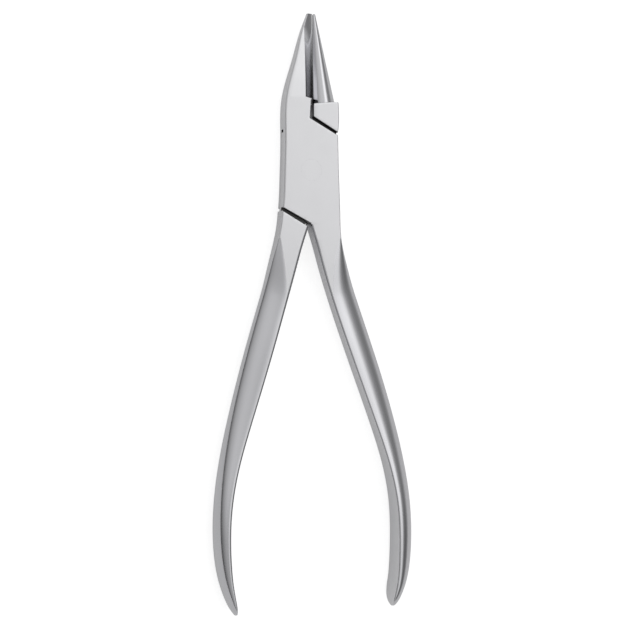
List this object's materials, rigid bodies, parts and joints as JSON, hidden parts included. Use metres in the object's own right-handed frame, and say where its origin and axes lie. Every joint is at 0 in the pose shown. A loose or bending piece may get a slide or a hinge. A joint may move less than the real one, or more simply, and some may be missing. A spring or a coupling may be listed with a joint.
{
  "type": "angle pliers",
  "caption": "Wire-bending pliers with a box joint, a conical beak against a ridged pyramid beak, and long bowed handles with flat inner faces.",
  "frame": {"origin": "on the pivot's axis, in the flat back face of the box", "axes": "+Y from the pivot to the tips of the beaks, +Z along the pivot's axis from the back face to the front face, +X towards the conical beak's side"},
  "size_m": [0.0455, 0.135, 0.0094],
  "materials": {
    "satin_steel": "satin ground stainless steel on the box faces, polished on the handles",
    "polished_steel": "polished stainless steel with satin box faces",
    "rivet_steel": "ground flush with the box"
  },
  "bodies": {
    "box_side": {"box_half": "satin_steel", "pivot_pin": "rivet_steel"},
    "tongue_side": {"tongue_half": "polished_steel"}
  },
  "joints": [
    {"name": "box_joint", "type": "hinge", "parent": "box_side", "child": "tongue_side", "pos_m": [0, 0, 0.003], "axis": [0, 0, -1], "range_deg": [0, 40]}
  ]
}
